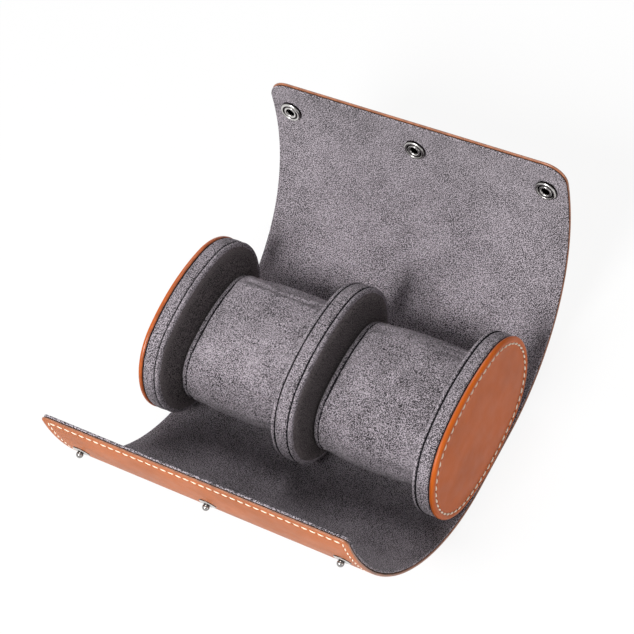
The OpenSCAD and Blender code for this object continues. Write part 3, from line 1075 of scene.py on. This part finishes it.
def make_seam(name, x, depth, radius, oval=None, pitch=2.6 * MM):
    """Dark thread pulled into the groove between two parts, with a stitch at each pitch unless the pitch is
    0; thick and nearly black, it also paints the groove's shade, and with no stitches it is painted shadow
    only.
    """
    oval = oval or divider_oval()
    sides = 8
    rings = [(x + radius * math.cos(TAU * k / sides), depth - radius * math.sin(TAU * k / sides))
             for k in range(sides)]
    bm = bmesh.new()
    loft(bm, oval, rings, bpy.context.scene.case_divider.sides, True, 0.1 * MM, 3)
    if pitch:
        for place in oval_places(oval, x, depth - radius, pitch):
            add_bead(bm, place, (0.34 * pitch, radius + 0.12 * MM, 0.22 * MM))
    return new_piece(bm, name, ["seam"], NEVER_CRISP)


# ---- Cushions ----


def cushion_oval():
    """The outline of the cushions at their middle."""
    c = bpy.context.scene.case_cushion
    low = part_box("left_cushion_sleeve")[0].z
    return Oval(c.half_width, c.half_height, c.end_radius, c.centre_y, low + c.half_height)


def in_fixed_order(bm):
    """A lofted mesh with its points and faces numbered by place.

    The operators number them differently in each run, and a sleeve's folds depend on it.
    """
    bmesh.ops.recalc_face_normals(bm, faces=bm.faces[:])
    turn_key, inset_key = bm.verts.layers.float["turn"], bm.verts.layers.float[INSET]
    verts = sorted(bm.verts, key=lambda v: (round(v.co.x / MM, 3), v[inset_key], v[turn_key]))
    number = {v: k for k, v in enumerate(verts)}
    faces = []
    for face in bm.faces:
        corners = [number[v] for v in face.verts]
        first = corners.index(min(corners))
        faces.append(corners[first:] + corners[:first])
    mesh = bpy.data.meshes.new("fixed_order")
    mesh.from_pydata([v.co for v in verts], [], sorted(faces))
    bm.clear()
    bm.from_mesh(mesh)
    bpy.data.meshes.remove(mesh)


def swell(piece, steps=20):
    """Fills a sleeve with cloth simulation; its two sewn ends stay where they are."""
    scene = bpy.context.scene
    rest = [v.co.copy() for v in piece.data.vertices]
    low = min(v.co.x for v in piece.data.vertices)
    high = max(v.co.x for v in piece.data.vertices)
    held = piece.vertex_groups.new(name="sewn")
    held.add([v.index for v in piece.data.vertices
              if min(v.co.x - low, high - v.co.x) < 0.4 * MM], 1.0, "REPLACE")
    cloth = piece.modifiers.new("Stuffing", "CLOTH")
    cloth.settings.quality = 6
    cloth.settings.mass = 0.05
    cloth.settings.use_pressure = True
    cloth.settings.uniform_pressure_force = scene.case_cushion.pressure
    cloth.settings.shrink_min = -0.02
    cloth.settings.vertex_group_mass = "sewn"
    cloth.settings.effector_weights.gravity = 0
    cloth.collision_settings.use_collision = False
    cloth.point_cache.frame_start = 1
    cloth.point_cache.frame_end = steps
    for step in range(1, steps + 1):
        scene.frame_set(step)
    graph = bpy.context.evaluated_depsgraph_get()
    moved = [v.co.copy() for v in piece.evaluated_get(graph).data.vertices]
    piece.modifiers.remove(cloth)
    piece.vertex_groups.clear()
    scene.frame_set(1)
    most = 1.3 * MM
    for v, before, after in zip(piece.data.vertices, rest, moved):
        push = after - before
        v.co = before + push * min(1.0, most / max(push.length, 1e-9))


def make_sleeve(side, x0, x1):
    """Suede sleeve of a cushion, stuffed and gathered a little at its seams."""
    crown = bpy.context.scene.case_cushion.crown
    oval = cushion_oval()
    lengths, sides = 26, 132
    hem = [(0, 8 * MM), (0, 3 * MM), (0.15 * MM, crown + 0.9 * MM), (0.5 * MM, crown + 0.25 * MM)]
    rings = [(x0 + depth, inset) for depth, inset in hem]
    for k in range(lengths + 1):
        share = k / lengths
        x = x0 + 1.1 * MM + (x1 - x0 - 2.2 * MM) * share
        rings.append((x, crown * abs(2 * share - 1) ** 2.4 + 0.15 * MM))
    rings += [(x1 - depth, inset) for depth, inset in hem[::-1]]
    bm = bmesh.new()
    loft(bm, oval, rings, sides)
    for v in bm.verts:
        outward = Vector((0, v.co.y - oval.y, v.co.z - oval.z)).normalized()
        edge = min(v.co.x - x0, x1 - v.co.x)
        pucker = math.exp(-edge / (5 * MM)) * 0.16 * MM
        ripple = noise.noise(Vector((v.co.y, v.co.z, x0 * 3)) / (4.2 * MM))
        broad = noise.noise(v.co / (26 * MM) + Vector((5, 1, 3)))
        v.co += outward * (pucker * ripple + 0.16 * MM * broad)
    in_fixed_order(bm)
    piece = new_piece(bm, f"{side}_cushion_suede", ["cushion suede"], math.radians(60))
    swell(piece)
    finer = piece.modifiers.new("Fine", "SUBSURF")
    finer.levels = finer.render_levels = 1
    return piece


def make_cushion_end(name, x_face, inward, seed):
    """End pad of a cushion: a thin suede disc with a soft rim."""
    c = bpy.context.scene.case_cushion
    rim = (c.crown + 0.45 * MM) / MM
    width = c.end_pad / MM
    profile = [(0.25, 20), (0.12, 12), (0.05, 5), (0.1, 2.2), (0.35, 0.9), (0.9, 0.2), (1.6, 0),
               (width - 0.8, 0), (width - 0.3, 0.3), (width, 1.0), (width, 3)]
    rings = [(x_face + inward * depth * MM, (rim + inset) * MM) for depth, inset in profile]
    return oval_piece(name, rings, ["end suede"], oval=cushion_oval(), uneven=0.1 * MM, seed=seed)


# ---- Fasteners ----


def turned(bm, profile, matrix, steps=48):
    """Spins a profile of (radius, height, darkening), in millimetres, and sets it in place; the darkening
    stands for tarnished grooves and for painted shade and reflection.
    """
    tarnish = bm.verts.layers.float.get(TARNISH_AND_SHADE) or bm.verts.layers.float.new(TARNISH_AND_SHADE)
    before = set(bm.verts)
    corners = [bm.verts.new((r * MM, 0, z * MM)) for r, z, _ in profile]
    for v, (_, _, dark) in zip(corners, profile):
        v[tarnish] = dark
    edges = [bm.edges.new(pair) for pair in zip(corners, corners[1:])]
    bmesh.ops.spin(bm, geom=corners + edges, cent=(0, 0, 0), axis=(0, 0, 1), angle=TAU,
                   steps=steps, use_merge=True)
    fresh = [v for v in bm.verts if v not in before]
    bmesh.ops.remove_doubles(bm, verts=fresh, dist=1e-7)
    fresh = [v for v in bm.verts if v not in before]
    bmesh.ops.transform(bm, matrix=matrix, verts=fresh)


def make_studs():
    """The ball studs on the front flap's leather."""
    f, wrap = bpy.context.scene.case_fastener, bpy.context.scene.case_wrap
    flap = front_flap()
    # Each point's third number darkens the nickel: painted shadow round the flange's edge, and in the neck
    # under the ball painted shade along with tarnish.
    profile = [(0, 0.2, 1), (5.0, 0.2, 1), (4.95, -0.05, 1), (4.6, -0.08, 1), (4.62, -0.35, 0.2),
               (4.3, -0.62, 0), (3.4, -0.78, 0.1), (2.2, -0.84, 0.6), (1.65, -0.95, 0.9),
               (1.45, -1.2, 0.8)]
    head, ball = 2.1, 1.9
    # The ball is darkened too, a painted dark reflection.
    for k in range(9):
        t = math.radians(50 + 130 * k / 8)
        profile.append((ball * math.sin(t), -head + ball * math.cos(t), 0.75 - 0.04 * k))
    bm = bmesh.new()
    for x in fastener_columns():
        turned(bm, profile, flap.frame_at(x, flap.length - f.stud_edge, -wrap.thickness / 2))
    piece = new_piece(bm, "front_snap_studs", ["nickel"], CRISP_METAL)
    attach(piece, "front_5")
    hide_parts("snap_studs")


def make_sockets():
    """The ringed sockets on the lip's lining."""
    f, wrap = bpy.context.scene.case_fastener, bpy.context.scene.case_wrap
    flap = back_flap()
    rim, top = f.socket_diameter / 2 / MM, f.socket_rise / MM
    # Each point's third number darkens the nickel: painted shade on the outer wall, and in the groove
    # between the rings and down the hole painted shade along with tarnish.
    ring = [(rim - 1, -0.2, 1), (rim, -0.2, 1), (rim, top - 1.0, 1), (rim - 0.12, top - 0.6, 0.9),
            (rim - 0.45, top - 0.22, 0.2), (rim - 0.9, top - 0.04, 0), (rim - 1.35, top, 0),
            (rim - 1.6, top - 0.15, 0.6), (rim - 1.85, top - 0.6, 1), (rim - 2.4, top - 0.6, 1),
            (rim - 2.6, top - 0.15, 0.6), (rim - 2.85, top, 0), (2.8, top - 0.05, 0),
            (2.45, top - 0.35, 0.7), (2.2, top - 0.9, 1), (2.2, -1.0, 1), (0, -1.05, 1)]
    bm = bmesh.new()
    for x in fastener_columns():
        turned(bm, ring, flap.frame_at(x, flap.length - f.socket_edge, wrap.thickness / 2))
    piece = new_piece(bm, "lid_snap_sockets", ["nickel"], CRISP_METAL)
    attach(piece, "lip")
    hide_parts("snap_sockets")


# ---- Stage ----

FLOOR_SIZE = 8.0
FLOOR_DEPTH = 0.4 * MM

# Name, place and diameter of each lamp.
LAMPS = (("key", (-0.08, -0.93, 1.06), 0.6), ("fill", (1.15, -0.25, 0.22), 0.5),
         ("back", (-0.45, 0.8, 1.1), 0.7))
LAMPS_AIM = Vector((0, 0, 0.04))

# Directions of the camera that was fitted to the photograph's outlines.
CAMERA_RIGHT = Vector((0.84692, 0.47862, -0.23163)).normalized()
CAMERA_BACK = Vector((0.436, -0.37576, 0.81774))


def make_floor():
    """A wide pale floor that stays white in the picture but takes the case's shadow."""
    f = Finish("pale_floor")
    f.set(Base_Color=(0.78, 0.78, 0.78, 1), Roughness=0.9, Specular_IOR_Level=0.0)
    white = f.node("ShaderNodeEmission", {}, {"Strength": 1.02})
    lit = Signal(f, f.shader.outputs["BSDF"])
    blend = f.node("ShaderNodeMixShader", {}, {0: f.unlit_share() * 0.88, 1: lit, 2: white})
    f.feed(f.tree.nodes["Material Output"].inputs["Surface"], blend)
    bm = bmesh.new()
    bmesh.ops.create_grid(bm, x_segments=2, y_segments=2, size=FLOOR_SIZE / 2)
    bmesh.ops.translate(bm, verts=bm.verts[:], vec=(0, 0, -FLOOR_DEPTH))
    add_object(bm, "floor", [f.material])


def make_world(scene):
    """Plain surroundings: white to the camera and dim as a light."""
    world = bpy.data.worlds.new("studio")
    scene.world = world
    world.use_nodes = True
    nodes = Nodes(world.node_tree)
    sky = scene.case_studio.sky
    background = world.node_tree.nodes["Background"]
    nodes.feed(background.inputs["Color"], (1, 1, 1, 1))
    nodes.feed(background.inputs["Strength"], nodes.unlit_share() * (1 - sky) + sky)


def make_lights(scene):
    """Round soft lamps that look at the case."""
    for name, place, diameter in LAMPS:
        lamp = bpy.data.lights.new(name, "AREA")
        lamp.shape = "DISK"
        lamp.size = diameter
        lamp.energy = getattr(scene.case_studio, f"{name}_power")
        light = bpy.data.objects.new(name, lamp)
        light.location = place
        light.rotation_euler = (LAMPS_AIM - Vector(place)).to_track_quat("-Z", "Y").to_euler()
        scene.collection.objects.link(light)


def make_camera(scene):
    """The camera that was fitted to the photograph."""
    studio = scene.case_studio
    right = CAMERA_RIGHT
    back = (CAMERA_BACK - CAMERA_BACK.dot(right) * right).normalized()
    up = back.cross(right)
    data = bpy.data.cameras.new("camera")
    data.sensor_width = 36
    data.lens = studio.lens
    camera = bpy.data.objects.new("camera", data)
    place = studio.camera_place
    camera.matrix_world = Matrix((
        (right.x, up.x, back.x, place[0]), (right.y, up.y, back.y, place[1]),
        (right.z, up.z, back.z, place[2]), (0, 0, 0, 1)))
    scene.collection.objects.link(camera)
    scene.camera = camera
    scene.view_settings.view_transform = "Standard"


# ---- Operators ----


class CASE_OT_finishes(bpy.types.Operator):
    """Make every material of the case"""

    bl_idname = "case.finishes"
    bl_label = "Finishes"

    def execute(self, context):
        MATERIAL_NAMES.update({part: m.name for part, m in make_finishes().items()})
        return {"FINISHED"}


class CASE_OT_wrap_leather(bpy.types.Operator):
    """Make the leather of the wrap, in pieces that bend across the hinges"""

    bl_idname = "case.wrap_leather"
    bl_label = "Wrap leather"

    def execute(self, context):
        dress_wrap(leather_layer(), ["wrap leather", "wrap edge"])
        return {"FINISHED"}


class CASE_OT_wrap_board(bpy.types.Operator):
    """Make the board inside the wrap"""

    bl_idname = "case.wrap_board"
    bl_label = "Wrap board"

    def execute(self, context):
        dress_wrap(board_layer(), ["wrap board painted shade"])
        return {"FINISHED"}


class CASE_OT_wrap_lining(bpy.types.Operator):
    """Make the suede lining of the wrap"""

    bl_idname = "case.wrap_lining"
    bl_label = "Wrap lining"

    def execute(self, context):
        dress_wrap(lining_layer(), ["wrap suede"])
        return {"FINISHED"}


class CASE_OT_wrap_stitches(bpy.types.Operator):
    """Sew the border of the wrap"""

    bl_idname = "case.wrap_stitches"
    bl_label = "Wrap stitches"

    def execute(self, context):
        stitch_wrap()
        return {"FINISHED"}


class CASE_OT_end_plates(bpy.types.Operator):
    """Make the two leather end plates and their stitches"""

    bl_idname = "case.end_plates"
    bl_label = "End plates"

    def execute(self, context):
        for side in ("left", "right"):
            low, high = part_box(f"{side}_end_plate")
            face, back = (high.x, low.x) if side == "right" else (low.x, high.x)
            piece = make_end_plate(side, face, back)
            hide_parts(f"{side}_end_plate")
            for made in (piece, stitch_plate(side, face)):
                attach(made, "base")
        return {"FINISHED"}


class CASE_OT_divider_bands(bpy.types.Operator):
    """Make the suede bands round the dividers"""

    bl_idname = "case.divider_bands"
    bl_label = "Divider bands"

    def execute(self, context):
        at_roll, at_plate = 0.15 * MM, 0.4 * MM
        gaps = {"left": (at_plate, at_roll), "middle": (at_roll, at_roll),
                "right": (at_roll, at_plate)}
        for seed, (side, (left_gap, right_gap)) in enumerate(gaps.items()):
            low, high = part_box(f"{side}_gusset_band")
            piece = make_band(f"{side}_band_suede", low.x + left_gap, high.x - right_gap, seed)
            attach(piece, "base")
            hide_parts(f"{side}_gusset_band")
        return {"FINISHED"}


class CASE_OT_rolled_edges(bpy.types.Operator):
    """Make the rolled edges and the dark seams beside them"""

    bl_idname = "case.rolled_edges"
    bl_label = "Rolled edges"

    def execute(self, context):
        low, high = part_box("left_rolled_edge")
        radius = (high.x - low.x) / 2
        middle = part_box("middle_rolled_edges")[1].x - radius
        # Name, place, side of the face, solid, and thickness of the seam's thread in millimetres; the thick
        # threads also paint the shade of the wider grooves.
        rolls = [("left", (low.x + high.x) / 2, 1, "left_rolled_edge", 0.26),
                 ("middle_left", -middle, -1, "middle_rolled_edges", 0.24),
                 ("middle_right", middle, 1, "middle_rolled_edges", 0.46),
                 ("right", -(low.x + high.x) / 2, -1, "right_rolled_edge", 0.48)]
        for number, (name, x, away, node, thick) in enumerate(rolls):
            roll = make_roll(f"{name}_roll_suede", x, away, radius, number + 20)
            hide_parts(node)
            groove = x - away * (radius + 0.05 * MM)
            for piece in (roll, make_seam(f"{name}_roll_seam", groove, 0.8 * MM, thick * MM)):
                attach(piece, "base")
        # A dark ring with no stitches behind each end plate is painted shadow in the gap between the plate
        # and the band.
        behind_plate = 0.2 * MM
        for side, x in (("left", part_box("left_gusset_band")[0].x + behind_plate),
                        ("right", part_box("right_gusset_band")[1].x - behind_plate)):
            piece = make_seam(f"{side}_plate_seam", x, 1.1 * MM, 0.5 * MM, pitch=0)
            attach(piece, "base")
        return {"FINISHED"}


class CASE_OT_divider_faces(bpy.types.Operator):
    """Make the padded suede faces of the dividers"""

    bl_idname = "case.divider_faces"
    bl_label = "Divider faces"

    def execute(self, context):
        names = ("left_inner_face", "middle_face_left", "middle_face_right", "right_inner_face")
        for number, node in enumerate(names):
            low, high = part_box(node)
            looks_right = node in ("left_inner_face", "middle_face_right")
            back, front = (low.x, high.x) if looks_right else (high.x, low.x)
            piece = make_face(f"{node}_suede", back, front, number + 40)
            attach(piece, "base")
            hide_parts(node)
        return {"FINISHED"}


class CASE_OT_cushions(bpy.types.Operator):
    """Make the two stuffed cushions with their end pads and seams"""

    bl_idname = "case.cushions"
    bl_label = "Cushions"

    def execute(self, context):
        c = context.scene.case_cushion
        hem = c.end_pad + 0.3 * MM
        for side in ("left", "right"):
            low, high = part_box(f"{side}_cushion_ends")
            sleeve = make_sleeve(side, low.x + hem, high.x - hem)
            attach(sleeve, f"{side}_cushion")
            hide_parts(f"{side}_cushion_sleeve")
            for at, x, inward, seed in (("near", low.x, 1, 110), ("far", high.x, -1, 102)):
                pad = make_cushion_end(f"{side}_cushion_{at}_pad", x, inward, seed)
                groove = x + inward * (c.end_pad + 0.15 * MM)
                thread_ring = make_seam(f"{side}_cushion_{at}_seam", groove, c.crown + 0.85 * MM,
                                        0.42 * MM, oval=cushion_oval())
                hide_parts(f"{side}_cushion_ends")
                for piece in (pad, thread_ring):
                    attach(piece, f"{side}_cushion")
        return {"FINISHED"}


class CASE_OT_fasteners(bpy.types.Operator):
    """Make the studs and the sockets"""

    bl_idname = "case.fasteners"
    bl_label = "Fasteners"

    def execute(self, context):
        make_studs()
        make_sockets()
        return {"FINISHED"}


class CASE_OT_hidden_parts(bpy.types.Operator):
    """Finish the boards, foam and rivets that the suede and leather hide"""

    bl_idname = "case.hidden_parts"
    bl_label = "Hidden parts"

    def execute(self, context):
        parts = {"core": "core board", "foam": "foam", "rivets": "nickel", "caps": "nickel"}
        for name, node in frame["nodes"].items():
            for word, part in parts.items():
                if word in name:
                    node.data.materials.clear()
                    node.data.materials.append(finish(part))
        return {"FINISHED"}


class CASE_OT_stage(bpy.types.Operator):
    """Set up the floor, the lights, the world and the camera"""

    bl_idname = "case.stage"
    bl_label = "Stage"

    def execute(self, context):
        scene = context.scene
        make_floor()
        make_world(scene)
        make_lights(scene)
        make_camera(scene)
        return {"FINISHED"}


class CASE_PT_panel(bpy.types.Panel):
    """Lists the steps that dress the case"""

    bl_idname = "CASE_PT_panel"
    bl_label = "Watch Case"
    bl_space_type = "VIEW_3D"
    bl_region_type = "UI"
    bl_category = "Watch Case"

    def draw(self, context):
        """Draws a button for each step and a box for each group of settings."""
        for step in STEPS:
            self.layout.operator(step.bl_idname)
        for name, group in SETTINGS.items():
            box = self.layout.box()
            box.label(text=group.__doc__)
            for key in group.__annotations__:
                box.prop(getattr(context.scene, name), key)


STEPS = (
    CASE_OT_finishes, CASE_OT_stage, CASE_OT_wrap_leather, CASE_OT_wrap_board, CASE_OT_wrap_lining,
    CASE_OT_wrap_stitches, CASE_OT_end_plates, CASE_OT_divider_bands, CASE_OT_rolled_edges,
    CASE_OT_divider_faces, CASE_OT_cushions, CASE_OT_fasteners, CASE_OT_hidden_parts,
)
CLASSES = tuple(SETTINGS.values()) + STEPS + (CASE_PT_panel,)


def register():
    """Adds the classes and the scene's settings."""
    for cls in CLASSES:
        bpy.utils.register_class(cls)
    for name, group in SETTINGS.items():
        setattr(bpy.types.Scene, name, PointerProperty(type=group))


def unregister():
    """Takes the settings and the classes away again."""
    for name in SETTINGS:
        delattr(bpy.types.Scene, name)
    for cls in reversed(CLASSES):
        bpy.utils.unregister_class(cls)


def main():
    """Makes the whole case."""
    register()
    for step in STEPS:
        getattr(bpy.ops.case, step.bl_idname.split(".")[1])()


if __name__ == "__main__":
    main()
